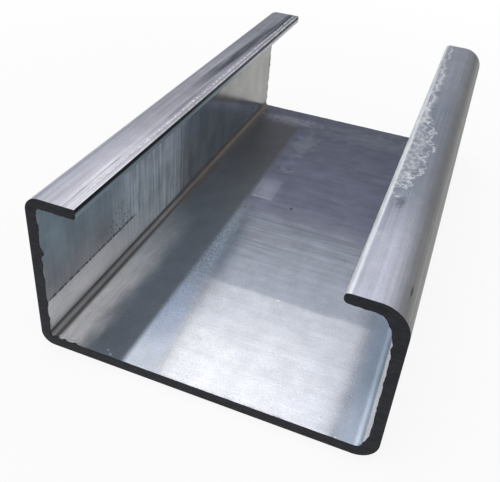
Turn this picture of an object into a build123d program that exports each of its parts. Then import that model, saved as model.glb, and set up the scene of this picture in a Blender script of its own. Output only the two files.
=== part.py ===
from build123d import *

import os

os.makedirs("parts", exist_ok=True)

# A short sawn length of cold-formed lipped channel, lying on the back of its web.
# X runs across the section, Y along the length, Z up.
# The origin is on the underside of the web, in the middle of the width and length.
# Left is the -X side and right the +X side, seen along +Y.

# Section, outside to outside
web_width = 100.0
flange_height = 51.0
left_lip_depth = 15.0
right_lip_depth = 16.0
sheet_thickness = 3.0

# Inside radius of each of the four bends
left_web_bend = 1.0
right_web_bend = 3.5
left_lip_bend = 1.5
right_lip_bend = 5.0

# Rounding of the slit edges of the strip, at the two lip tips
left_tip_round = 0.35
right_tip_round = 1.3

# Length between the two saw cuts
piece_length = 182.0

half_web = web_width / 2
left_tip_x = left_lip_depth - half_web
right_tip_x = half_web - right_lip_depth

with BuildPart() as channel:
    with BuildSketch(Plane.XZ) as section:
        with BuildLine():
            # The outer skin runs from the left lip tip round the web to the right one.
            skin = Polyline(
                (left_tip_x, flange_height),
                (-half_web, flange_height),
                (-half_web, 0),
                (half_web, 0),
                (half_web, flange_height),
                (right_tip_x, flange_height),
            )
            corners = skin.vertices()[1:-1]
            bends = (left_lip_bend, left_web_bend, right_web_bend, right_lip_bend)
            for corner, inside_radius in zip(corners, bends):
                fillet(corner, radius=inside_radius + sheet_thickness)
            offset(amount=sheet_thickness, side=Side.LEFT)
        make_face()
        # The two slit edges of the strip are the section's shortest upright edges.
        upright_edges = section.edges().filter_by(Axis.Y).sort_by(SortBy.LENGTH)
        left_slit_edge, right_slit_edge = upright_edges[:2].sort_by(Axis.X)
        fillet(left_slit_edge.vertices(), radius=left_tip_round)
        fillet(right_slit_edge.vertices(), radius=right_tip_round)
    extrude(amount=piece_length / 2, both=True)

channel.part.label = "channel"
export_step(channel.part, "parts/channel.step")
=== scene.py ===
import math

import bmesh
import bpy
from bpy.props import FloatProperty, FloatVectorProperty, PointerProperty
from mathutils import Matrix, Vector, noise


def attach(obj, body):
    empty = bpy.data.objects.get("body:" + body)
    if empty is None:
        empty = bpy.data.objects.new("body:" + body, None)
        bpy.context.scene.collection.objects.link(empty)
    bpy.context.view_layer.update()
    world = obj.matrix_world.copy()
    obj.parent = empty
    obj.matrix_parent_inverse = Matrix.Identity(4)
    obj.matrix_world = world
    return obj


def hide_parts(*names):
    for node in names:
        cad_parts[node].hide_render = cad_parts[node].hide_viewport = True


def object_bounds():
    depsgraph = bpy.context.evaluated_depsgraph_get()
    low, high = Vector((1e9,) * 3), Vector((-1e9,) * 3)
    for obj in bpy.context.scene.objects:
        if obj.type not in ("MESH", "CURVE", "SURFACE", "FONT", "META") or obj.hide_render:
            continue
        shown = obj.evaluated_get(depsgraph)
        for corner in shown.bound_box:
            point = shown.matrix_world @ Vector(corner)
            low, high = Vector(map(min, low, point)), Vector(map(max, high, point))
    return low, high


bl_info = {
    "name": "Galvanized steel C-channel",
    "version": (1, 0, 0),
    "blender": (4, 5, 0),
    "location": "3D View > Sidebar > C-channel",
    "description": "Dresses a sawn length of lipped steel channel in worn zinc, with ragged saw cuts",
    "category": "Object",
}

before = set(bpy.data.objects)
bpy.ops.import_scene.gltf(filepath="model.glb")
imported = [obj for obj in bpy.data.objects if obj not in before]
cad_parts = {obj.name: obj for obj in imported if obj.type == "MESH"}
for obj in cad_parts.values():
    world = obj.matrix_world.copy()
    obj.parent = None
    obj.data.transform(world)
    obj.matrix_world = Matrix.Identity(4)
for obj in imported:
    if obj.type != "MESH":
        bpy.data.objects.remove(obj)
CAD_LOW, CAD_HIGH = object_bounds()
CAD_NODE = "channel"
CAD_BODY = "root"
MM = 0.001

# The strip attribute holds each corner's place on the unrolled strip, in millimetres:
# its first number runs across the strip from the left lip's tip, its second along the length.
# Across places on the outer skin start at OUTER_START, so that one map holds both skins.
STRIP = "strip"
OUTER_START = 400.0

# Material slots of the piece, after the zinc coat's slot 0
SAWN_CUT, SLIT_EDGE = 1, 2


def srgb(red, green, blue):
    """A colour written as on a screen, 0 to 255, as the linear colour that a shader takes."""
    def linear(value):
        share = value / 255
        return share / 12.92 if share <= 0.04045 else ((share + 0.055) / 1.055) ** 2.4

    return (linear(red), linear(green), linear(blue), 1.0)


# Sizes and colours that a user would change


class ChannelSizes(bpy.types.PropertyGroup):
    """The section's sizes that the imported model's box doesn't give, and those of the saw's burr."""

    sheet: FloatProperty(
        name="Sheet", description="Thickness of the steel", default=3.0 * MM, unit="LENGTH"
    )
    left_lip: FloatProperty(
        name="Left lip", description="Depth of the left lip, outside", default=15.0 * MM,
        unit="LENGTH",
    )
    right_lip: FloatProperty(
        name="Right lip", description="Depth of the right lip, outside", default=16.0 * MM,
        unit="LENGTH",
    )
    left_lip_bend: FloatProperty(
        name="Left lip bend", description="Inside radius", default=1.5 * MM, unit="LENGTH"
    )
    left_web_bend: FloatProperty(
        name="Left web bend", description="Inside radius", default=1.0 * MM, unit="LENGTH"
    )
    right_web_bend: FloatProperty(
        name="Right web bend", description="Inside radius", default=3.5 * MM, unit="LENGTH"
    )
    right_lip_bend: FloatProperty(
        name="Right lip bend", description="Inside radius", default=5.0 * MM, unit="LENGTH"
    )
    left_tip_round: FloatProperty(
        name="Left tip", description="Rounding of the left slit edge", default=0.35 * MM,
        unit="LENGTH",
    )
    right_tip_round: FloatProperty(
        name="Right tip", description="Rounding of the right slit edge", default=1.3 * MM,
        unit="LENGTH",
    )
    burr: FloatProperty(
        name="Burr", description="How far the saw's burr stands off the skin", default=0.3 * MM,
        unit="LENGTH",
    )


class ChannelFinish(bpy.types.PropertyGroup):
    """Colours of the zinc coat and of the bare cuts."""

    zinc: FloatVectorProperty(
        name="Zinc", description="The coat's plain colour", subtype="COLOR", size=4,
        default=srgb(214, 218, 226), min=0, max=1,
    )
    cut_steel: FloatVectorProperty(
        name="Cut steel", description="The dark sawn ends", subtype="COLOR", size=4,
        default=srgb(22, 23, 30), min=0, max=1,
    )
    slit_steel: FloatVectorProperty(
        name="Slit steel", description="The slit edges of the strip", subtype="COLOR", size=4,
        default=srgb(214, 218, 226), min=0, max=1,
    )


class ChannelStage(bpy.types.PropertyGroup):
    """The studio, and the camera's place, which follows the photograph."""

    floor: FloatVectorProperty(
        name="Floor", description="The floor's colour", subtype="COLOR", size=4,
        default=(0.9, 0.9, 0.9, 1.0), min=0, max=1,
    )
    wall: FloatVectorProperty(
        name="Wall", description="The colour of the studio's walls, which only reflections show",
        subtype="COLOR", size=4, default=(0.3, 0.31, 0.34, 1.0), min=0, max=1,
    )
    camera_place: FloatVectorProperty(
        name="Camera", description="The camera's place in the frame", subtype="TRANSLATION", size=3,
        unit="LENGTH", default=(0.0478, -0.2017, 0.1438),
    )
    camera_azimuth: FloatProperty(
        name="Azimuth", description="Round the object, 0 looks along +Y", default=math.radians(17.96),
        subtype="ANGLE",
    )
    camera_elevation: FloatProperty(
        name="Elevation", description="Above the horizon", default=math.radians(32.97),
        subtype="ANGLE",
    )
    camera_roll: FloatProperty(
        name="Roll", description="Turn about the line of sight", default=math.radians(5.3),
        subtype="ANGLE",
    )
    lens: FloatProperty(name="Lens", description="Focal length in millimetres", default=46.91)


# The rolled strip


def box_size():
    return CAD_HIGH - CAD_LOW


def strip_place(x, z, outer, sizes):
    """Place across the strip, in millimetres, of the point (x, z) of the outer or the inner skin."""
    inset = 0.0 if outer else sizes.sheet
    left, right = CAD_LOW.x + inset, CAD_HIGH.x - inset
    bottom, top = CAD_LOW.z + inset, CAD_HIGH.z - inset
    left_tip = CAD_LOW.x + sizes.left_lip
    left_half = x < (left + right) / 2
    upper = z > (bottom + top) / 2
    if left_half and upper:
        place = (left_tip - x) + (top - z)
    elif left_half:
        place = (left_tip - left) + (top - z) + (x - left)
    elif upper:
        place = (left_tip - left) + (top - bottom) + (right - left) + (z - bottom) + (right - x)
    else:
        place = (left_tip - left) + (top - bottom) + (x - left) + (z - bottom)
    return place / MM + (OUTER_START if outer else 0.0)


def on_outer_skin(point, normal):
    """Whether a surface there faces away from the hollow."""
    hollow = (CAD_LOW + CAD_HIGH) / 2
    return normal.x * (point.x - hollow.x) + normal.z * (point.z - hollow.z) > 0


# Flat stretch at each lip tip that stays whole, to take the rounding of the slit edge
TIP_LAND = 1.7 * MM
# Points along the flats of the section's line are about this far apart.
POINT_STEP = 0.5 * MM
BEND_STEPS = 14
TIP_STEPS = 5
# Two places closer than this are one place.
SAME_PLACE = 0.01 * MM


def bent_profile(mesh, sizes):
    """The outer skin's line at the near end, bent at its four corners."""
    corners = [
        (CAD_LOW.x + sizes.left_lip, CAD_HIGH.z),
        (CAD_LOW.x + sizes.left_lip - TIP_LAND, CAD_HIGH.z),
        (CAD_LOW.x, CAD_HIGH.z),
        (CAD_LOW.x, CAD_LOW.z),
        (CAD_HIGH.x, CAD_LOW.z),
        (CAD_HIGH.x, CAD_HIGH.z),
        (CAD_HIGH.x - sizes.right_lip + TIP_LAND, CAD_HIGH.z),
        (CAD_HIGH.x - sizes.right_lip, CAD_HIGH.z),
    ]
    points = [mesh.verts.new((x, CAD_LOW.y, z)) for x, z in corners]
    for pair in zip(points, points[1:]):
        mesh.edges.new(pair)
    inside_radii = (sizes.left_lip_bend, sizes.left_web_bend, sizes.right_web_bend, sizes.right_lip_bend)
    for corner, inside in zip(points[2:-2], inside_radii):
        bmesh.ops.bevel(
            mesh, geom=[corner], offset=inside + sizes.sheet, offset_type="OFFSET", affect="VERTICES",
            segments=BEND_STEPS, profile=0.5, material=-1,
        )
    flats = [edge for edge in mesh.edges if edge.calc_length() > TIP_LAND + POINT_STEP]
    for flat in flats:
        bmesh.ops.subdivide_edges(mesh, edges=[flat], cuts=round(flat.calc_length() / POINT_STEP) - 1)


# Distances from each cut at which the strip has a row of points, beside the row at the cut itself
CUT_ROWS = (0.25 * MM, 0.6 * MM, 1.2 * MM)
ROW_STEP = 6.5 * MM


def row_places():
    """Distances from the near end of all rows of points."""
    reach = box_size().y
    middle_rows = [ROW_STEP * index for index in range(1, int(reach / ROW_STEP))]
    return [*CUT_ROWS, *middle_rows, *[reach - row for row in reversed(CUT_ROWS)], reach]


def draw_out(mesh):
    """The strip, drawn along +Y from the line of its near end."""
    line = mesh.edges[:]
    drawn = 0.0
    for place in row_places():
        grown = bmesh.ops.extrude_edge_only(mesh, edges=line)["geom"]
        ends = {item for item in grown if isinstance(item, bmesh.types.BMVert)}
        edges = [item for item in grown if isinstance(item, bmesh.types.BMEdge)]
        line = [edge for edge in edges if edge.verts[0] in ends and edge.verts[1] in ends]
        bmesh.ops.translate(mesh, verts=list(ends), vec=(0, place - drawn, 0))
        drawn = place


def thicken(mesh, sizes):
    """Gives the strip its sheet, inwards from the outer skin."""
    bmesh.ops.recalc_face_normals(mesh, faces=mesh.faces[:])
    web = min(mesh.faces, key=lambda face: face.calc_center_median().z)
    if web.normal.z > 0:
        bmesh.ops.reverse_faces(mesh, faces=mesh.faces[:])
    bmesh.ops.solidify(mesh, geom=mesh.faces[:], thickness=sizes.sheet)
    mesh.normal_update()


def round_slit_edge(mesh, tip_x, radius, sizes):
    """Rounds the two long edges of the lip's tip that stands at tip_x."""
    levels = (CAD_HIGH.z, CAD_HIGH.z - sizes.sheet)

    def at_tip(point):
        off_level = min(abs(point.z - level) for level in levels)
        return abs(point.x - tip_x) < SAME_PLACE and off_level < SAME_PLACE

    def is_long_edge(edge):
        first, second = (vert.co for vert in edge.verts)
        return at_tip(first) and at_tip(second) and abs(first.z - second.z) < SAME_PLACE

    bmesh.ops.bevel(
        mesh, geom=[edge for edge in mesh.edges if is_long_edge(edge)], offset=radius,
        offset_type="OFFSET", affect="EDGES", segments=TIP_STEPS, profile=0.5, material=-1,
    )


# A slit edge's faces are at most this far under the lip's top, and at least this far in from the side.
SLIT_REACH_DOWN = 3.5 * MM
SLIT_FROM_SIDE = 12.0 * MM


def faces_along(face):
    """Whether the face looks along the length, as those of the cuts do."""
    return abs(face.normal.y) > 0.5


def sort_faces(mesh):
    """Gives the faces of the cuts and of the slit edges their material slots."""
    for face in mesh.faces:
        centre = face.calc_center_median()
        high_up = centre.z > CAD_HIGH.z - SLIT_REACH_DOWN
        far_in = abs(centre.x) < box_size().x / 2 - SLIT_FROM_SIDE
        if faces_along(face):
            face.material_index = SAWN_CUT
        elif abs(face.normal.x) > 0.3 and high_up and far_in:
            face.material_index = SLIT_EDGE


# Burr of the saw

# Shares of the burr's height at the cut and at the rows of points beside it
BURR_SHARES = (1.0, 0.75, 0.2)
# The web's burr was rubbed down to this share of the rest.
WEB_BURR_SHARE = 0.35
# Teeth of the burr, per millimetre across the strip
COARSE_TEETH = 0.35
FINE_TEETH = 1.4
# Torn lumps of the near cut: centre across the strip, reach to each side and height, in millimetres
NEAR_LUMPS = (
    (26.4, 1.9, 1.2), (30.6, 1.8, 0.55), (19.0, 4.0, 0.25), (36.6, 1.6, 0.45), (44.5, 2.2, 0.4),
    (50.5, 1.5, 0.35), (58.8, 1.2, 0.9), (61.6, 1.0, 0.6), (65.0, 1.4, 0.4), (194.0, 8.0, 1.2),
    (186.5, 1.6, 0.5), (153.0, 4.5, 1.0),
)
# A burr taller than this was torn from the bare steel and has no zinc.
TALL_BURR = 0.35 * MM


def nearest_cut(y):
    """Whether the nearest cut is the far one, and how far it is from y."""
    from_near, from_far = y - CAD_LOW.y, CAD_HIGH.y - y
    return from_far < from_near, min(from_near, from_far)


def bump_at(place, centre, reach):
    """1 at centre, falling smoothly to 0 at reach from it."""
    away = min(abs(place - centre) / reach, 1.0)
    return (1 - away * away) ** 2


def burr_height(place, at_far_cut, sizes):
    """How far the burr stands off the inner skin at that place across the strip, in metres."""
    seed = Vector((0.0, 17.3 * at_far_cut, 5.1))
    coarse = noise.noise(Vector((place * COARSE_TEETH, 0, 0)) + seed)
    fine = noise.noise(Vector((place * FINE_TEETH, 4.0, 0)) + seed)
    height = sizes.burr * max(0.0, 0.3 + 0.9 * coarse + 0.7 * fine)
    if LEFT_BEND < place < RIGHT_BEND:
        height *= WEB_BURR_SHARE
    if not at_far_cut:
        height += sum(tall * MM * bump_at(place, centre, reach) for centre, reach, tall in NEAR_LUMPS)
    return height


def raise_burr(mesh, sizes):
    """Flares the inner skin's last rows unevenly into the hollow, except at the lip tips."""
    lip_tips = (CAD_LOW.x + sizes.left_lip, CAD_HIGH.x - sizes.right_lip)
    inner_normals = {}
    for face in mesh.faces:
        if faces_along(face) or on_outer_skin(face.calc_center_median(), face.normal):
            continue
        for vert in face.verts:
            inner_normals.setdefault(vert, Vector((0, 0, 0)))
            inner_normals[vert] += face.normal
    for vert, total in inner_normals.items():
        at_far_cut, from_cut = nearest_cut(vert.co.y)
        direction = Vector((total.x, 0, total.z))
        from_tip = min(abs(vert.co.x - tip) for tip in lip_tips)
        if direction.length < 0.5 or from_tip < TIP_LAND:
            continue
        height = burr_height(strip_place(vert.co.x, vert.co.z, False, sizes), at_far_cut, sizes)
        for row, share in zip((0.0, *CUT_ROWS), BURR_SHARES):
            if abs(from_cut - row) < SAME_PLACE:
                vert.co += direction.normalized() * height * share


def darken_burr(mesh, sizes):
    """Gives the torn edge of the inner skin, right at the cuts, the material of the cut."""
    for face in mesh.faces:
        centre = face.calc_center_median()
        at_far_cut, from_cut = nearest_cut(centre.y)
        if from_cut > CUT_ROWS[1] or on_outer_skin(centre, face.normal):
            continue
        place = strip_place(centre.x, centre.z, False, sizes)
        if burr_height(place, at_far_cut, sizes) > TALL_BURR or from_cut < CUT_ROWS[0]:
            face.material_index = SAWN_CUT


def lay_strip_map(mesh, sizes):
    """Writes each corner's place on the unrolled strip."""
    layer = mesh.loops.layers.float_vector.new(STRIP)
    for face in mesh.faces:
        outer = on_outer_skin(face.calc_center_median(), face.normal)
        for corner in face.loops:
            point = corner.vert.co
            corner[layer] = Vector((strip_place(point.x, point.z, outer, sizes), point.y / MM, 0))


# Faces that meet at more than this stay sharp.
SHARP_ANGLE = math.radians(35)


def shade_smooth(mesh):
    """Smooth skins that meet sharply at the cuts."""
    for face in mesh.faces:
        face.smooth = True
    for edge in mesh.edges:
        edge.smooth = len(edge.link_faces) == 2 and edge.calc_face_angle() < SHARP_ANGLE


# Node materials

# Nearly all values of a noise are between these.
NOISE_RANGE = (0.3, 0.7)


class Finish:
    """A material under way, with short ways to add the nodes that the finishes share."""

    def __init__(self, name):
        self.material = bpy.data.materials.new(name)
        self.material.use_nodes = True
        self.tree = self.material.node_tree
        self.shader = self.tree.nodes["Principled BSDF"]

    def strip_parts(self):
        """The place on the unrolled strip, and its numbers across and along."""
        strip = self.add("Attribute", attribute_name=STRIP).outputs["Vector"]
        parts = self.add("SeparateXYZ")
        self.feed(parts.inputs[0], strip)
        return strip, parts.outputs[0], parts.outputs[1]

    def add(self, kind, **settings):
        node = self.tree.nodes.new("ShaderNode" + kind)
        for setting, value in settings.items():
            setattr(node, setting, value)
        return node

    def feed(self, socket, value):
        """Links the socket to an output, or sets it to a plain value."""
        if isinstance(value, bpy.types.NodeSocket):
            self.tree.links.new(value, socket)
        else:
            socket.default_value = value

    def math(self, operation, first, second=0.0):
        node = self.add("Math", operation=operation)
        self.feed(node.inputs[0], first)
        self.feed(node.inputs[1], second)
        return node.outputs[0]

    def times(self, first, *others):
        product = first
        for other in others:
            product = self.math("MULTIPLY", product, other)
        return product

    def slope(self, value, start, end, at_start=0.0, at_end=1.0):
        """Goes smoothly from at_start to at_end while value goes from start to end."""
        node = self.add("MapRange", interpolation_type="SMOOTHSTEP")
        for socket, number in zip(node.inputs, (value, start, end, at_start, at_end)):
            self.feed(socket, number)
        return node.outputs[0]

    def band(self, value, start, end, soft):
        """1 while value is between start and end, and 0 outside, with edges soft wide."""
        rise = self.slope(value, start - soft / 2, start + soft / 2)
        fall = self.slope(value, end - soft / 2, end + soft / 2, 1.0, 0.0)
        return self.times(rise, fall)

    def mix(self, share, first, second, blend="MIX"):
        """Goes from the first colour to the second by the share, or blends them another way."""
        node = self.add("Mix", data_type="RGBA", blend_type=blend)
        # A Mix node has its colours at inputs 6 and 7 and output 2, after those for plain numbers.
        self.feed(node.inputs[0], share)
        self.feed(node.inputs[6], first)
        self.feed(node.inputs[7], second)
        return node.outputs[2]

    def stretched(self, place, across, along, offset=0.0):
        """The place in units of across by along millimetres."""
        scale = self.add("VectorMath", operation="MULTIPLY")
        self.feed(scale.inputs[0], place)
        scale.inputs[1].default_value = (1 / across, 1 / along, 1.0)
        shift = self.add("VectorMath", operation="ADD")
        self.feed(shift.inputs[0], scale.outputs[0])
        shift.inputs[1].default_value = (0.0, 0.0, offset)
        return shift.outputs[0]

    def noise(self, place, across, along, detail=2.0, roughness=0.5, offset=0.0):
        """Noise from 0 to 1, whose grains are about across by along millimetres."""
        node = self.add("TexNoise")
        self.feed(node.inputs["Vector"], self.stretched(place, across, along, offset))
        node.inputs["Scale"].default_value = 1.0
        node.inputs["Detail"].default_value = detail
        node.inputs["Roughness"].default_value = roughness
        return node.outputs["Fac"]

    def bump(self, height, strength, distance):
        node = self.add("Bump")
        node.inputs["Strength"].default_value = strength
        node.inputs["Distance"].default_value = distance
        self.feed(node.inputs["Height"], height)
        return node.outputs["Normal"]


class Coat(Finish):
    """The zinc coat under way: its colour and its dullness, painted by place on the unrolled strip."""

    def __init__(self, name, plain_colour, plain_dullness):
        super().__init__(name)
        self.strip, self.across, self.along = self.strip_parts()
        self.colour = plain_colour
        self.dull = plain_dullness

    def lay_along(self, part, tones, place):
        """Lays tones one after another on a part, each where the place goes past its start."""
        for start, full, colour, dull in tones:
            self.lay(self.times(part, self.slope(place, start, full)), colour, dull)

    def lay(self, share, colour, dull=None):
        """Lays a colour over what is there, by that share, and a dullness too where one is given."""
        self.colour = self.mix(share, self.colour, colour)
        if dull is not None:
            # A Mix node has its plain numbers at inputs 2 and 3.
            node = self.add("Mix", data_type="FLOAT")
            for socket, value in zip(node.inputs[:1] + node.inputs[2:4], (share, self.dull, dull)):
                self.feed(socket, value)
            self.dull = node.outputs[0]

    def shade(self, tone):
        """Multiplies the colour by a tone."""
        grey = self.add("CombineColor")
        for socket in grey.inputs:
            self.feed(socket, tone)
        self.colour = self.mix(1.0, self.colour, grey.outputs[0], "MULTIPLY")

    def vary(self, swing, *shares):
        """Lightens and darkens the colour by a swing about 0, taken by those shares."""
        self.shade(self.math("ADD", self.times(swing, *shares), 1.0))

    def grains(self, across, along, at_low, at_high, between=NOISE_RANGE, **kind):
        """Noise in grains of across by along millimetres, which goes from at_low to at_high
        while its own value goes from one end of between to the other."""
        return self.slope(self.noise(self.strip, across, along, **kind), *between, at_low, at_high)

    def apart(self, value, middle):
        """How far the value is from the middle, to either side."""
        return self.math("ABSOLUTE", self.math("SUBTRACT", value, middle))

    def strip_from(self, start, end, soft):
        """1 between two places across the strip."""
        return self.band(self.across, start, end, soft)

    def length_from(self, start, end, soft):
        """1 between two places along the strip."""
        return self.band(self.along, start, end, soft)

    def line_along(self, at_near, slant):
        """Across place of a line that starts at at_near at the near cut and drifts by slant along."""
        from_near = self.math("SUBTRACT", self.along, CAD_LOW.y / MM)
        return self.math("ADD", self.times(from_near, slant), at_near)

    def below(self, line, soft):
        """1 where the across place is less than line."""
        return self.slope(self.math("SUBTRACT", self.across, line), -soft / 2, soft / 2, 1.0, 0.0)

    def reach_from(self, across, along, wide, long, ragged):
        """Distance from the middle of an oval, which is 1 on its outline, made uneven by ragged."""
        centre = self.add("VectorMath", operation="SUBTRACT")
        self.feed(centre.inputs[0], self.strip)
        centre.inputs[1].default_value = (across, along, 0)
        scaled = self.add("VectorMath", operation="MULTIPLY")
        self.feed(scaled.inputs[0], centre.outputs[0])
        scaled.inputs[1].default_value = (2 / wide, 2 / long, 0)
        away = self.add("VectorMath", operation="LENGTH")
        self.feed(away.inputs[0], scaled.outputs[0])
        distance = away.outputs["Value"]
        if ragged:
            tooth = min(wide, long) / 3
            wander = self.noise(self.strip, tooth, tooth, detail=4.0, offset=across)
            distance = self.math("ADD", distance, self.slope(wander, 0.25, 0.75, -ragged, ragged))
        return distance

    def spot(self, across, along, wide, long, soft=0.3, ragged=0.0):
        """1 in an oval spot and 0 outside it, with an outline that is ragged and soft."""
        distance = self.reach_from(across, along, wide, long, ragged)
        return self.slope(distance, 1.0 - soft, 1.0 + soft, 1.0, 0.0)

    def ring(self, across, along, wide, long, thin, ragged):
        """1 on the ragged outline of an oval spot, and 0 off it."""
        distance = self.reach_from(across, along, wide, long, ragged)
        return self.slope(self.apart(distance, 1.0), 0.0, thin, 1.0, 0.0)


# Colours of the coat's places, as the shader takes them

# Left flange and its bend
TEAL_GREY = (0.34, 0.42, 0.45, 1.0)
PALE_TEAL = (0.70, 0.77, 0.80, 1.0)
LILAC_SHADE = (0.36, 0.36, 0.38, 1.0)
FAR_TEAL = (0.39, 0.44, 0.49, 1.0)
FLOOR_REFLECTION_BEIGE = (0.235, 0.232, 0.22, 1.0)
BEIGE_GREY = (0.75, 0.745, 0.76, 1.0)
BROWN_GREY = (0.22, 0.19, 0.165, 1.0)
BEND_GREY = (0.27, 0.27, 0.275, 1.0)
BEND_LINE = (0.12, 0.12, 0.125, 1.0)

# Web
SLATE = (0.20, 0.23, 0.27, 1.0)
FAR_BAND = (0.14, 0.145, 0.16, 1.0)
ICE_WHITE = (0.80, 0.87, 1.0, 1.0)
ICE_BLUE = (0.42, 0.52, 0.73, 1.0)
REFLECTED_BLUE = (0.225, 0.295, 0.39, 1.0)
BLUE_GREY = (0.44, 0.54, 0.66, 1.0)
PALE_BLUE = (0.68, 0.78, 0.92, 1.0)
NEAR_WHITE = (0.64, 0.665, 0.74, 1.0)
GLARE_WHITE = (0.78, 0.795, 0.85, 1.0)
MID_GREY = (0.44, 0.475, 0.56, 1.0)
FAR_SLATE = (0.325, 0.34, 0.45, 1.0)
DEEP_SLATE = (0.26, 0.28, 0.365, 1.0)

# Lips
LILAC_GREY = (0.56, 0.56, 0.65, 1.0)
MIDDLE_LILAC = (0.43, 0.435, 0.50, 1.0)
FAR_LILAC = (0.33, 0.34, 0.39, 1.0)
PALE_LILAC = (0.80, 0.80, 0.88, 1.0)
SLATE_STREAK = (0.12, 0.135, 0.17, 1.0)
DARK_STREAK = (0.2, 0.21, 0.25, 1.0)
CURL_GREY = (0.2, 0.22, 0.28, 1.0)
DOT_WHITE = (0.95, 0.95, 1.0, 1.0)
NEAR_LIP_BLUE = (0.55, 0.565, 0.67, 1.0)
MIDDLE_LIP_BLUE = (0.29, 0.32, 0.395, 1.0)
FAR_LIP_BLUE = (0.37, 0.40, 0.475, 1.0)
TIP_HIGHLIGHT = (0.86, 0.93, 1.0, 1.0)
SMUDGE = (0.12, 0.13, 0.17, 1.0)

# More than one place
HIGHLIGHT_WHITE = (0.97, 0.98, 1.0, 1.0)
WARM_GREY = (0.22, 0.22, 0.21, 1.0)
SIDE_GREY = (0.5, 0.5, 0.5, 1.0)
DARK_LINE = (0.06, 0.065, 0.07, 1.0)
SCUFF_WHITE = (0.86, 0.88, 0.92, 1.0)
WHITE = (1.0, 1.0, 1.0, 1.0)

# Across places of the strip's parts on the inner skin, in millimetres
LEFT_LIP_END, LEFT_BEND, RIGHT_BEND, RIGHT_LIP_START = 12.0, 57.0, 151.0, 196.0
# The same on the outer skin
OUTER_LEFT_CORNER, OUTER_LEFT_BEND, OUTER_RIGHT_BEND, OUTER_RIGHT_CORNER = 415.0, 466.0, 566.0, 617.0
OUTER_END = 633.0

# Where painted bands end across the inner skin
SCORE_START, SCORE_END, PALE_STRIP_START = 43.8, 44.7, 44.6
DARK_REFLECTION_END = 80.6
ICE_END_AT_CUT, ICE_SLANT = 90.2, -0.078
# Middle of the right lip's scuff along the strip, and of the wandering streak across it
SCUFF_ALONG, STREAK_ACROSS = -15.0, 630.6

# Tones of a part along the strip: where each starts and is full, its colour and its dullness
# The web's tones are a painted reflection, darker further from the cut.
WEB_REFLECTED_TONES = ((-49.5, -45.0, MID_GREY, 0.35), (-19.0, 12.0, FAR_SLATE, 0.3), (20.0, 85.0, DEEP_SLATE, None))
LEFT_LIP_TONES = ((-78.0, -16.0, MIDDLE_LILAC, None), (0.0, 60.0, FAR_LILAC, None))
RIGHT_LIP_TONES = ((-76.0, -34.0, MIDDLE_LIP_BLUE, None), (10.0, 60.0, FAR_LIP_BLUE, None))


def paint_left_flange(coat):
    """Teal-grey, wiped upright in the middle of the length, with a painted reflection of the pale floor
    high up at the far end.
    """
    flange = coat.strip_from(LEFT_LIP_END - 1, LEFT_BEND, 1.0)
    coat.lay(flange, TEAL_GREY, 0.6)
    coat.lay(coat.times(flange, coat.slope(coat.across, 22.0, 44.0)), LILAC_SHADE)
    coat.lay(coat.times(flange, coat.length_from(-52.0, -6.0, 18.0)), PALE_TEAL)
    coat.lay(coat.times(flange, coat.slope(coat.along, -16.0, 20.0)), FAR_TEAL, 0.25)
    # Painted reflection: the far end mirrors the pale floor above a slanting line
    floor_reflection_side = coat.below(coat.line_along(-21.0, 0.43), 2.0)
    coat.lay(coat.times(flange, floor_reflection_side, coat.slope(coat.along, 4.0, 26.0)), FLOOR_REFLECTION_BEIGE)
    wiped = coat.grains(34.0, 1.5, -1.0, 1.0, detail=4.0, offset=1.0)
    in_middle = coat.slope(coat.apart(coat.along, -26.0), 14.0, 40.0, 0.3, 0.05)
    cloudy = coat.grains(12.0, 9.0, -0.12, 0.12, detail=4.0, offset=31.0)
    coat.vary(coat.math("ADD", coat.times(wiped, in_middle), cloudy), flange)


def paint_score_line(coat):
    """A pale strip by the web's bend, a broken score line along its edge and a patch of dots over it."""
    near_half = coat.slope(coat.along, -72.0, -6.0, 1.0, 0.0)
    speckle = coat.grains(0.7, 6.0, 0.82, 1.0, between=(0.3, 0.6), detail=5.0, offset=7.0)
    pale_strip = coat.strip_from(PALE_STRIP_START, LEFT_BEND, 0.8)
    coat.lay(coat.times(pale_strip, near_half, speckle), BEIGE_GREY, 0.55)
    broken = coat.grains(2.0, 1.6, 0.2, 1.0, between=(0.42, 0.52), offset=9.0)
    score = coat.times(coat.strip_from(SCORE_START, SCORE_END, 0.4), coat.length_from(-89.5, -42.0, 4.0))
    coat.lay(coat.times(score, broken), DARK_LINE, 0.8)
    patch = coat.spot(across=40.5, along=-52.0, wide=9.0, long=14.0, soft=0.4)
    dots = coat.grains(0.9, 1.1, 0.0, 1.0, between=(0.61, 0.67), detail=1.0, offset=12.0)
    coat.lay(coat.times(patch, dots), DARK_LINE, 0.6)


# Across places of the two dark lines of painted shade in the left bend
BEND_LINES = (55.6, 58.6)


def paint_left_bend(coat):
    """The tight bend in painted shade: two dark lines, and further along a single brown one."""
    # Painted shade in the inner bend
    coat.lay(coat.strip_from(54.6, 59.6, 1.2), BEND_GREY, 0.95)
    for place in BEND_LINES:
        coat.lay(coat.strip_from(place - 0.5, place + 0.5, 0.6), BEND_LINE, 0.95)
    far_part = coat.slope(coat.along, -24.0, 16.0)
    coat.lay(coat.times(coat.strip_from(54.0, 60.6, 1.6), far_part), FAR_BAND, 0.8)
    coat.lay(coat.times(coat.strip_from(54.8, 58.8, 3.0), far_part), BROWN_GREY, 0.95)


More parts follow.
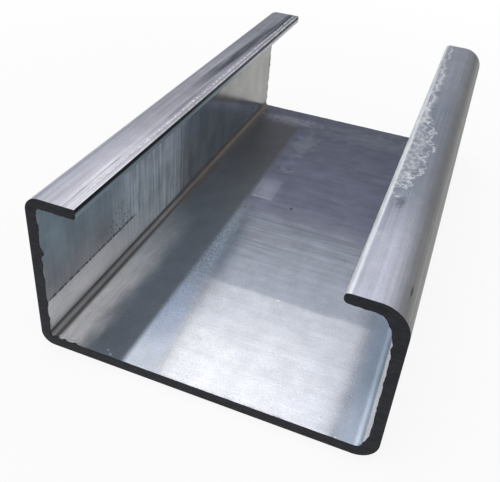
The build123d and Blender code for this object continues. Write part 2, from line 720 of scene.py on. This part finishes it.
def paint_web(coat):
    """Painted reflection: pale near the cut with a painted glare, and darker in steps along; with fine
    cross lines, clouds and bands at its sides.
    """
    web = coat.strip_from(LEFT_BEND + 1.5, RIGHT_BEND, 1.0)
    drift = coat.grains(40.0, 6.0, -2.0, 2.0, between=(0.2, 0.8), offset=2.0)
    place = coat.math("ADD", coat.along, drift)
    # Painted reflection: a pale web with a painted glare near the cut, darker in steps further along
    coat.lay(web, NEAR_WHITE, 0.3)
    glare = coat.spot(across=100.0, along=-88.0, wide=60.0, long=44.0, soft=0.6, ragged=0.3)
    coat.lay(coat.times(web, glare), GLARE_WHITE)
    coat.lay_along(web, WEB_REFLECTED_TONES, place)
    lines = coat.grains(60.0, 0.8, -1.0, 1.0, detail=4.0, roughness=0.6, offset=4.0)
    waves = coat.grains(26.0, 2.6, -0.7, 0.7, detail=3.0, offset=5.0)
    lined = coat.slope(coat.apart(coat.along, -14.0), 6.0, 20.0, 0.14, 0.035)
    cross_lines = coat.times(coat.math("ADD", lines, waves), lined)
    clouds = coat.grains(16.0, 4.5, -0.11, 0.11, detail=5.0, roughness=0.6, offset=29.0)
    far_clouds = coat.times(clouds, coat.slope(coat.along, -50.0, 20.0, 0.3, 1.0))
    coat.vary(coat.math("ADD", cross_lines, far_clouds), web)
    paint_reflected_ice_strip(coat, web)
    paint_side_bands(coat, web)


def paint_reflected_ice_strip(coat, web):
    """A painted reflection beside the dark band: white near the cut, blue further along, grey at its end.
    """
    edge = coat.line_along(ICE_END_AT_CUT, ICE_SLANT)
    beside = coat.below(coat.math("ADD", edge, 4.0), 8.0)
    coat.lay(coat.times(beside, web, coat.length_from(-42.0, -14.0, 14.0), 0.6), REFLECTED_BLUE)
    # Painted reflection, from white near the cut to blue and grey along the length
    tone = coat.mix(coat.slope(coat.along, -90.0, -64.0), ICE_WHITE, ICE_BLUE)
    tone = coat.mix(coat.slope(coat.along, -62.0, -40.0), tone, REFLECTED_BLUE)
    reflection_grains = coat.grains(0.5, 0.9, 0.0, 0.5, between=(0.35, 0.65), detail=3.0, offset=6.0)
    patches = coat.grains(3.0, 5.0, 0.7, 1.0, between=(0.3, 0.6), detail=3.0, offset=27.0)
    fades = coat.slope(coat.along, -20.0, 14.0, 1.0, 0.0)
    ice = coat.times(coat.below(edge, 5.0), web, fades, patches)
    dull = coat.slope(coat.along, -88.0, -55.0, 1.1, 0.7)
    coat.lay(ice, coat.mix(reflection_grains, tone, ICE_WHITE), dull)


def paint_side_bands(coat, web):
    """A painted dark reflection in a band by the left bend, pale beside the bend itself, and a blue band by
    the right bend.
    """
    fades_far = coat.slope(coat.along, 70.0, 80.0, 1.0, 0.3)
    # Painted dark reflection, fading at the far end
    dark_reflection_band = coat.times(coat.below(DARK_REFLECTION_END, 2.4), web, fades_far)
    coat.lay(dark_reflection_band, coat.mix(coat.slope(coat.along, -40.0, 60.0), SLATE, FAR_BAND), 0.6)
    ragged = coat.grains(5.0, 14.0, -1.0, 1.0, detail=4.0, offset=28.0)
    beside_bend = coat.below(coat.math("ADD", ragged, 67.6), 8.0)
    near_half = coat.slope(coat.along, -68.0, -8.0, 1.0, 0.0)
    speckle = coat.grains(0.8, 7.0, 0.8, 1.0, between=(0.3, 0.6), detail=5.0, offset=8.0)
    coat.lay(coat.times(beside_bend, web, near_half, speckle), BEIGE_GREY, 0.6)
    blue_band = coat.times(
        coat.slope(coat.across, 141.0, 146.0), coat.slope(coat.across, 150.2, 151.6, 1.0, 0.0),
        coat.slope(coat.along, -40.0, 20.0, 1.0, 0.25),
    )
    coat.lay(blue_band, coat.mix(coat.slope(coat.along, -86.0, -62.0), PALE_BLUE, BLUE_GREY), 0.6)


# Faint smears on the far web: across, along, width, length, raggedness, share and colour
WEB_SMEARS = (
    (88.0, 58.0, 9.0, 20.0, 0.6, 0.2, PALE_LILAC),
    (76.0, 80.0, 24.0, 7.0, 0.6, 0.3, PALE_LILAC),
    (118.0, 78.0, 40.0, 12.0, 0.8, 0.1, SCUFF_WHITE),
)


def paint_web_marks(coat):
    """Handling marks: a pale block with a bright edge, a curl, smears, a dark speck, nicks and specks."""
    block = coat.times(coat.strip_from(81.0, 90.0, 1.6), coat.length_from(8.0, 22.0, 4.0))
    coat.lay(coat.times(block, 0.22), PALE_LILAC, 0.4)
    block_edge = coat.times(coat.strip_from(81.5, 90.0, 1.5), coat.length_from(7.0, 8.4, 1.2))
    coat.lay(coat.times(block_edge, 0.4), PALE_LILAC, 0.5)
    curl = coat.ring(across=87.8, along=35.5, wide=5.0, long=8.0, thin=0.4, ragged=0.4)
    coat.lay(coat.times(curl, coat.slope(coat.along, 31.0, 36.0, 1.0, 0.2), 0.4), PALE_LILAC, 0.4)
    for across, along, wide, long, ragged, share, colour in WEB_SMEARS:
        smear = coat.spot(across, along, wide, long, soft=0.6, ragged=ragged)
        coat.lay(coat.times(smear, share), colour, 0.4)
    coat.lay(coat.spot(across=99.1, along=5.1, wide=1.2, long=1.2), DARK_LINE, 0.6)
    coat.lay(coat.spot(across=112.1, along=-47.7, wide=1.8, long=1.2, soft=0.4), SCUFF_WHITE, 0.9)
    fewer_far = coat.slope(coat.along, -80.0, -40.0, 1.0, 0.3)
    near_web = coat.times(coat.strip_from(72.0, RIGHT_BEND, 2.0), fewer_far)
    nicks = coat.grains(1.0, 1.4, 0.0, 1.0, between=(0.7, 0.76), offset=33.0)
    coat.lay(coat.times(nicks, near_web, 0.5), SCUFF_WHITE, 0.9)
    specks = coat.grains(0.9, 0.9, 0.0, 1.0, between=(0.72, 0.76), detail=1.0, offset=35.0)
    coat.lay(coat.times(specks, near_web, 0.5), MID_GREY, 0.6)


def paint_near_rim(coat):
    """The web's rim at the near cut, chipped white in places and grey in others."""
    at_cut = coat.slope(coat.along, -89.6, -88.0, 1.0, 0.0)
    rim = coat.times(coat.strip_from(LEFT_BEND, RIGHT_BEND, 1.0), at_cut)
    chipped = coat.noise(coat.strip, 1.6, 0.9, offset=36.0)
    coat.lay(coat.times(rim, coat.slope(chipped, 0.66, 0.7)), WHITE, 1.0)
    coat.lay(coat.times(rim, coat.slope(chipped, 0.34, 0.3), 0.7), WARM_GREY, 0.8)


def paint_right_flange(coat):
    """Painted bright reflection on the inside, up to the lip's bend."""
    # Painted bright reflection
    coat.lay(coat.strip_from(RIGHT_BEND - 0.5, RIGHT_LIP_START, 1.0), HIGHLIGHT_WHITE, 1.15)


def paint_outside(coat):
    """Painted shade: dull warm grey under the web and on the right flange, and plain grey on the left
    flange.
    """
    # Painted shade under the web and on the right flange's outside
    coat.lay(coat.strip_from(OUTER_LEFT_CORNER + 1.5, OUTER_RIGHT_CORNER - 1.0, 4.0), WARM_GREY, 0.85)
    coat.lay(coat.strip_from(OUTER_LEFT_CORNER, OUTER_LEFT_BEND, 4.0), SIDE_GREY, 0.8)


def paint_left_lip(coat):
    """Lilac-grey, darker further along, with a paler side by the tip and a slate streak at the far end."""
    lip = coat.strip_from(OUTER_START - 1, OUTER_LEFT_CORNER, 1.0)
    coat.lay(lip, LILAC_GREY, 0.75)
    by_tip = coat.slope(coat.across, 403.0, 409.0, 1.0, 0.0)
    pale_streaks = coat.grains(1.4, 40.0, 0.3, 0.9, between=(0.25, 0.6), detail=3.0, offset=13.0)
    coat.lay(coat.times(lip, by_tip, pale_streaks), PALE_LILAC)
    fades = coat.slope(coat.along, -30.0, 10.0, 0.55, 0.0)
    coat.lay(coat.times(coat.strip_from(409.0, 412.6, 2.0), fades), MID_GREY)
    coat.lay_along(lip, LEFT_LIP_TONES, coat.along)
    on_line = coat.slope(coat.apart(coat.across, coat.line_along(411.0, -0.045)), 1.0, 2.6, 1.0, 0.0)
    wavy = coat.grains(1.2, 30.0, 0.35, 1.0, between=(0.25, 0.6), detail=4.0, offset=14.0)
    coat.lay(coat.times(lip, on_line, coat.slope(coat.along, -25.0, 25.0), wavy), SLATE_STREAK, 0.5)


def paint_left_lip_lines(coat):
    """Two white dotted lines by the left lip's tip, a thin dark one beside them and a curl far along."""
    dotted = coat.grains(0.6, 1.5, 0.0, 1.0, between=(0.42, 0.58), detail=3.0, offset=15.0)
    coat.lay(coat.times(coat.strip_from(401.7, 402.4, 0.5), dotted), DOT_WHITE, 0.9)
    coat.lay(coat.times(coat.strip_from(OUTER_START - 1, 400.8, 0.4), dotted, 0.7), PALE_LILAC, 0.9)
    uneven = coat.grains(0.8, 14.0, 0.2, 0.8, between=(0.4, 0.6), offset=17.0)
    coat.lay(coat.times(coat.strip_from(403.4, 403.9, 0.4), uneven), DARK_STREAK, 0.7)
    curl = coat.ring(across=407.4, along=61.6, wide=3.2, long=4.0, thin=0.3, ragged=0.3)
    coat.lay(coat.times(curl, 0.7), CURL_GREY, 0.6)


def paint_right_lip(coat):
    """Blue-grey, palest near the cut, with a painted highlight along the tip and painted shade on the warm
    grey bend.
    """
    lip = coat.strip_from(OUTER_RIGHT_CORNER - 3, OUTER_END + 2, 1.0)
    coat.lay(lip, NEAR_LIP_BLUE, 0.7)
    coat.lay_along(lip, RIGHT_LIP_TONES, coat.along)
    # Painted shade on the bend
    coat.lay(coat.times(lip, coat.slope(coat.across, 615.0, 627.0, 1.0, 0.0)), WARM_GREY, 0.8)
    # Painted highlight along the tip
    tip = coat.strip_from(OUTER_END - 1.5, OUTER_END + 2, 0.5)
    coat.lay(coat.times(tip, coat.slope(coat.along, 20.0, 70.0, 1.0, 0.3)), TIP_HIGHLIGHT, 0.8)


def paint_right_lip_marks(coat):
    """The scuffed zone by the right lip's tip, a wandering streak beyond it, a smudge and a scratch."""
    worn = coat.grains(1.2, 2.2, 0.1, 0.6, between=(0.35, 0.65), detail=5.0, offset=16.0)
    scuff = coat.spot(across=631.0, along=SCUFF_ALONG, wide=8.0, long=46.0, soft=0.12, ragged=0.35)
    coat.lay(coat.times(scuff, worn), SCUFF_WHITE, 0.8)
    outline = coat.ring(across=630.5, along=SCUFF_ALONG, wide=10.0, long=50.0, thin=0.1, ragged=0.35)
    coat.lay(coat.times(outline, 0.75), SCUFF_WHITE, 0.8)
    wander = coat.grains(60.0, 7.0, -1.3, 1.3, detail=4.0, offset=18.0)
    off_streak = coat.apart(coat.across, coat.math("ADD", wander, STREAK_ACROSS))
    streak = coat.times(coat.slope(off_streak, 0.2, 0.6, 1.0, 0.0), coat.length_from(6.0, 88.0, 8.0))
    coat.lay(coat.times(streak, 0.6), SCUFF_WHITE, 0.8)
    haze = coat.times(coat.slope(off_streak, 0.4, 2.2, 0.35, 0.0), coat.length_from(6.0, 60.0, 16.0))
    coat.lay(haze, SCUFF_WHITE, 0.8)
    smudge = coat.spot(across=628.4, along=-48.4, wide=2.6, long=5.0, soft=0.5, ragged=0.6)
    coat.lay(coat.times(smudge, 0.6), SMUDGE, 0.6)
    rub = coat.spot(across=633.0, along=-65.0, wide=4.0, long=4.0, soft=0.4, ragged=0.6)
    coat.lay(coat.times(rub, 0.5), SCUFF_WHITE, 0.8)
    scratch = coat.spot(across=617.0, along=-81.3, wide=0.9, long=3.6, ragged=0.2)
    coat.lay(scratch, DARK_LINE, 0.6)


def streak_along(coat):
    """Long streaks of the rolling mill and of handling, on the lips and outside."""
    on_outer_side = coat.slope(coat.across, OUTER_START - 50, OUTER_START - 49)
    fine = coat.grains(0.45, 45.0, -0.12, 0.12, detail=3.0, offset=20.0)
    wide = coat.grains(1.6, 90.0, -0.12, 0.12, offset=21.0)
    calmer = coat.slope(coat.across, OUTER_RIGHT_BEND, OUTER_RIGHT_CORNER, 1.0, 0.55)
    coat.vary(coat.math("ADD", fine, wide), on_outer_side, calmer)


# Each paints over what the ones before it left.
PAINTERS = (
    paint_left_flange, paint_score_line, paint_web, paint_left_bend, paint_web_marks, paint_near_rim,
    paint_right_flange, paint_outside, paint_left_lip, paint_left_lip_lines, paint_right_lip,
    paint_right_lip_marks, streak_along,
)


def zinc_wear_and_painted_light(finish_values):
    """The rolled and handled zinc coat, with painted reflections, highlights and shade: a dull place is
    rougher and mirrors less.
    """
    coat = Coat("zinc_wear_and_painted_light", tuple(finish_values.zinc), plain_dullness=0.2)
    for paint in PAINTERS:
        paint(coat)
    mottle = coat.grains(6.0, 8.0, 0.92, 1.06, detail=5.0, roughness=0.65)
    grain = coat.noise(coat.strip, 0.6, 0.6, offset=25.0)
    coat.shade(coat.times(mottle, coat.slope(grain, *NOISE_RANGE, 0.94, 1.05)))
    coat.feed(coat.shader.inputs["Base Color"], coat.colour)
    coat.feed(coat.shader.inputs["Metallic"], coat.math("SUBTRACT", 1.0, coat.times(coat.dull, 0.75)))
    coat.feed(coat.shader.inputs["Roughness"], coat.math("ADD", coat.times(coat.dull, 0.4), 0.1))
    coat.feed(coat.shader.inputs["Normal"], coat.bump(grain, 0.15, 0.02 * MM))
    return coat.material


# The paler grains of the sawn ends
CUT_GLINT = srgb(38, 40, 48)


def sawn_steel(finish_values):
    """The dark, torn face of a saw cut."""
    cut = Finish("sawn_steel")
    millimetres = cut.add("VectorMath", operation="SCALE")
    cut.feed(millimetres.inputs[0], cut.add("TexCoord").outputs["Object"])
    millimetres.inputs["Scale"].default_value = 1 / MM
    coarse = cut.noise(millimetres.outputs[0], 2.2, 2.2, detail=4.0)
    colour = cut.mix(cut.slope(coarse, *NOISE_RANGE), tuple(finish_values.cut_steel), CUT_GLINT)
    cut.feed(cut.shader.inputs["Base Color"], colour)
    cut.shader.inputs["Metallic"].default_value = 0.4
    cut.shader.inputs["Roughness"].default_value = 0.62
    cut.feed(cut.shader.inputs["Normal"], cut.bump(coarse, 0.6, 0.1 * MM))
    return cut.material


def slit_steel(finish_values):
    """The slit edges of the strip: on the left lip a painted shadow line over a painted reflection of the
    teal-grey flange, on the right one a painted highlight.
    """
    slit = Finish("slit_steel")
    strip, across, along = slit.strip_parts()
    drawn = slit.noise(strip, 0.4, 7.0, detail=4.0)
    under_corner = slit.slope(across, -2.0, -1.2)
    reflected_flange_tone = slit.mix(slit.slope(along, 0.0, 40.0), TEAL_GREY, LILAC_GREY)
    # Painted shadow line above, painted reflection of the flange below
    left_colour = slit.mix(under_corner, tuple(finish_values.cut_steel), reflected_flange_tone)
    # Painted highlight on the right slit edge
    right_colour = slit.mix(slit.slope(drawn, *NOISE_RANGE), tuple(finish_values.slit_steel), HIGHLIGHT_WHITE)
    right_side = slit.slope(across, LEFT_BEND, RIGHT_BEND)
    slit.feed(slit.shader.inputs["Base Color"], slit.mix(right_side, left_colour, right_colour))
    slit.feed(slit.shader.inputs["Metallic"], slit.slope(across, LEFT_BEND, RIGHT_BEND, 0.6, 0.15))
    slit.feed(slit.shader.inputs["Roughness"], slit.slope(drawn, 0.2, 0.8, 0.4, 0.55))
    return slit.material


# Operators


def link_mesh(context, mesh, name):
    """A new object in the scene that holds the finished bmesh."""
    data = bpy.data.meshes.new(name)
    mesh.to_mesh(data)
    mesh.free()
    piece = bpy.data.objects.new(name, data)
    context.scene.collection.objects.link(piece)
    return piece


class CHANNEL_OT_steel(bpy.types.Operator):
    """Builds the whole channel as one closed piece and dresses it"""

    bl_idname = "channel.steel"
    bl_label = "Channel steel"

    def execute(self, context):
        sizes = context.scene.channel_sizes
        finish_values = context.scene.channel_finish
        mesh = bmesh.new()
        bent_profile(mesh, sizes)
        draw_out(mesh)
        thicken(mesh, sizes)
        round_slit_edge(mesh, CAD_LOW.x + sizes.left_lip, sizes.left_tip_round, sizes)
        round_slit_edge(mesh, CAD_HIGH.x - sizes.right_lip, sizes.right_tip_round, sizes)
        mesh.normal_update()
        sort_faces(mesh)
        lay_strip_map(mesh, sizes)
        raise_burr(mesh, sizes)
        darken_burr(mesh, sizes)
        mesh.normal_update()
        shade_smooth(mesh)
        steel = link_mesh(context, mesh, "channel_steel")
        for material in (zinc_wear_and_painted_light, sawn_steel, slit_steel):
            steel.data.materials.append(material(finish_values))
        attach(steel, CAD_BODY)
        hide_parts(CAD_NODE)
        return {"FINISHED"}


# The stage, in metres, with the lamp's power in watts
FLOOR_REACH = 12.0
FLOOR_GAP = 0.02 * MM
WALL_AWAY = 1.0
WALL_TOP = 0.82
LAMP_REACH = 1.0
LAMP_HEIGHT = 0.6
LAMP_POWER = 1.2
# The floor is plain white past WHITE_START, and white by this share within SHADOW_REACH.
SHADOW_REACH, WHITE_START = 0.1, 0.4
MIDDLE_WHITENESS = 0.87
# The picture's middle, off the line of sight, in widths of the picture
SHIFT_X = -0.014
SHIFT_Y = -0.082
CLIP_START = 5.0 * MM


def pale_floor(stage_values):
    """White to the eye and in reflections further off, and a plain pale floor that takes the shadow."""
    floor = Finish("pale_floor")
    floor.shader.inputs["Base Color"].default_value = tuple(stage_values.floor)
    floor.shader.inputs["Roughness"].default_value = 1.0
    floor.shader.inputs["Specular IOR Level"].default_value = 0.0
    place = floor.add("TexCoord").outputs["Object"]
    away = floor.add("VectorMath", operation="LENGTH")
    floor.feed(away.inputs[0], place)
    whiteness = floor.slope(away.outputs["Value"], SHADOW_REACH, WHITE_START, MIDDLE_WHITENESS, 1.0)
    white = floor.add("Emission")
    ray = floor.add("LightPath")
    seen = floor.math("MAXIMUM", ray.outputs["Is Camera Ray"], ray.outputs["Is Glossy Ray"])
    seen = floor.math("MAXIMUM", seen, ray.outputs["Is Transmission Ray"])
    blend = floor.add("MixShader")
    floor.feed(blend.inputs[0], floor.times(seen, whiteness))
    floor.feed(blend.inputs[1], floor.shader.outputs[0])
    floor.feed(blend.inputs[2], white.outputs[0])
    output = floor.tree.nodes["Material Output"]
    floor.feed(output.inputs["Surface"], blend.outputs[0])
    return floor.material


def studio_wall(stage_values):
    """Plain grey walls that only reflections and soft light meet."""
    wall = Finish("studio_wall")
    wall.shader.inputs["Base Color"].default_value = tuple(stage_values.wall)
    wall.shader.inputs["Roughness"].default_value = 1.0
    wall.shader.inputs["Specular IOR Level"].default_value = 0.0
    return wall.material


class CHANNEL_OT_stage(bpy.types.Operator):
    """Makes the floor, the walls, the light and the camera"""

    bl_idname = "channel.stage"
    bl_label = "Stage"

    def execute(self, context):
        stage_values = context.scene.channel_stage
        self.make_floor(context, stage_values)
        self.make_walls(context, stage_values)
        self.make_light(context)
        self.make_camera(context, stage_values)
        return {"FINISHED"}

    def make_floor(self, context, stage_values):
        mesh = bmesh.new()
        bmesh.ops.create_grid(mesh, x_segments=1, y_segments=1, size=FLOOR_REACH)
        bmesh.ops.translate(mesh, verts=mesh.verts[:], vec=(0, 0, CAD_LOW.z - FLOOR_GAP))
        floor = link_mesh(context, mesh, "floor")
        floor.data.materials.append(pale_floor(stage_values))

    def make_walls(self, context, stage_values):
        mesh = bmesh.new()
        bmesh.ops.create_cube(mesh, size=1.0)
        ends = [face for face in mesh.faces if abs(face.normal.z) > 0.5]
        bmesh.ops.delete(mesh, geom=ends, context="FACES_ONLY")
        bmesh.ops.translate(mesh, verts=mesh.verts[:], vec=(0, 0, 0.5))
        bmesh.ops.scale(mesh, verts=mesh.verts[:], vec=(2 * WALL_AWAY, 2 * WALL_AWAY, WALL_TOP))
        bmesh.ops.reverse_faces(mesh, faces=mesh.faces[:])
        walls = link_mesh(context, mesh, "studio_walls")
        walls.data.materials.append(studio_wall(stage_values))
        walls.visible_camera = False

    def make_light(self, context):
        world = bpy.data.worlds.new("white_ceiling")
        world.use_nodes = True
        background = world.node_tree.nodes["Background"]
        background.inputs["Color"].default_value = WHITE
        background.inputs["Strength"].default_value = 1.0
        context.scene.world = world
        lamp_data = bpy.data.lights.new("soft_box", "AREA")
        lamp_data.shape = "SQUARE"
        lamp_data.size = LAMP_REACH
        lamp_data.energy = LAMP_POWER
        lamp = bpy.data.objects.new("soft_box", lamp_data)
        lamp.location = (0, 0, LAMP_HEIGHT)
        lamp.visible_camera = False
        context.scene.collection.objects.link(lamp)

    def make_camera(self, context, stage_values):
        azimuth, elevation = stage_values.camera_azimuth, stage_values.camera_elevation
        out = math.cos(elevation)
        back = Vector((math.sin(azimuth) * out, -math.cos(azimuth) * out, math.sin(elevation)))
        level = Vector((0, 0, 1)).cross(back).normalized()
        upright = back.cross(level)
        roll = stage_values.camera_roll
        right = level * math.cos(roll) + upright * math.sin(roll)
        up = back.cross(right)
        turn = Matrix((right, up, back)).transposed()
        camera_data = bpy.data.cameras.new("camera")
        camera_data.lens = stage_values.lens
        camera_data.shift_x = SHIFT_X
        camera_data.shift_y = SHIFT_Y
        camera_data.clip_start = CLIP_START
        camera = bpy.data.objects.new("camera", camera_data)
        camera.matrix_world = Matrix.Translation(Vector(stage_values.camera_place)) @ turn.to_4x4()
        context.scene.collection.objects.link(camera)
        context.scene.camera = camera
        context.scene.view_settings.view_transform = "Standard"


class CHANNEL_PT_panel(bpy.types.Panel):
    """Lists the channel's sizes, colours and steps"""

    bl_label = "C-channel"
    bl_idname = "CHANNEL_PT_panel"
    bl_space_type = "VIEW_3D"
    bl_region_type = "UI"
    bl_category = "C-channel"

    def draw(self, context):
        layout = self.layout
        for group_name in ("channel_sizes", "channel_finish", "channel_stage"):
            group = getattr(context.scene, group_name)
            for name in group.__annotations__:
                layout.prop(group, name)
        layout.operator(CHANNEL_OT_steel.bl_idname)
        layout.operator(CHANNEL_OT_stage.bl_idname)


GROUPS = {"channel_sizes": ChannelSizes, "channel_finish": ChannelFinish, "channel_stage": ChannelStage}
CLASSES = (*GROUPS.values(), CHANNEL_OT_steel, CHANNEL_OT_stage, CHANNEL_PT_panel)


def register():
    for kind in CLASSES:
        bpy.utils.register_class(kind)
    for name, group in GROUPS.items():
        setattr(bpy.types.Scene, name, PointerProperty(type=group))


def unregister():
    for name in GROUPS:
        delattr(bpy.types.Scene, name)
    for kind in reversed(CLASSES):
        bpy.utils.unregister_class(kind)


def main():
    register()
    bpy.ops.channel.steel()
    bpy.ops.channel.stage()


if __name__ == "__main__":
    main()
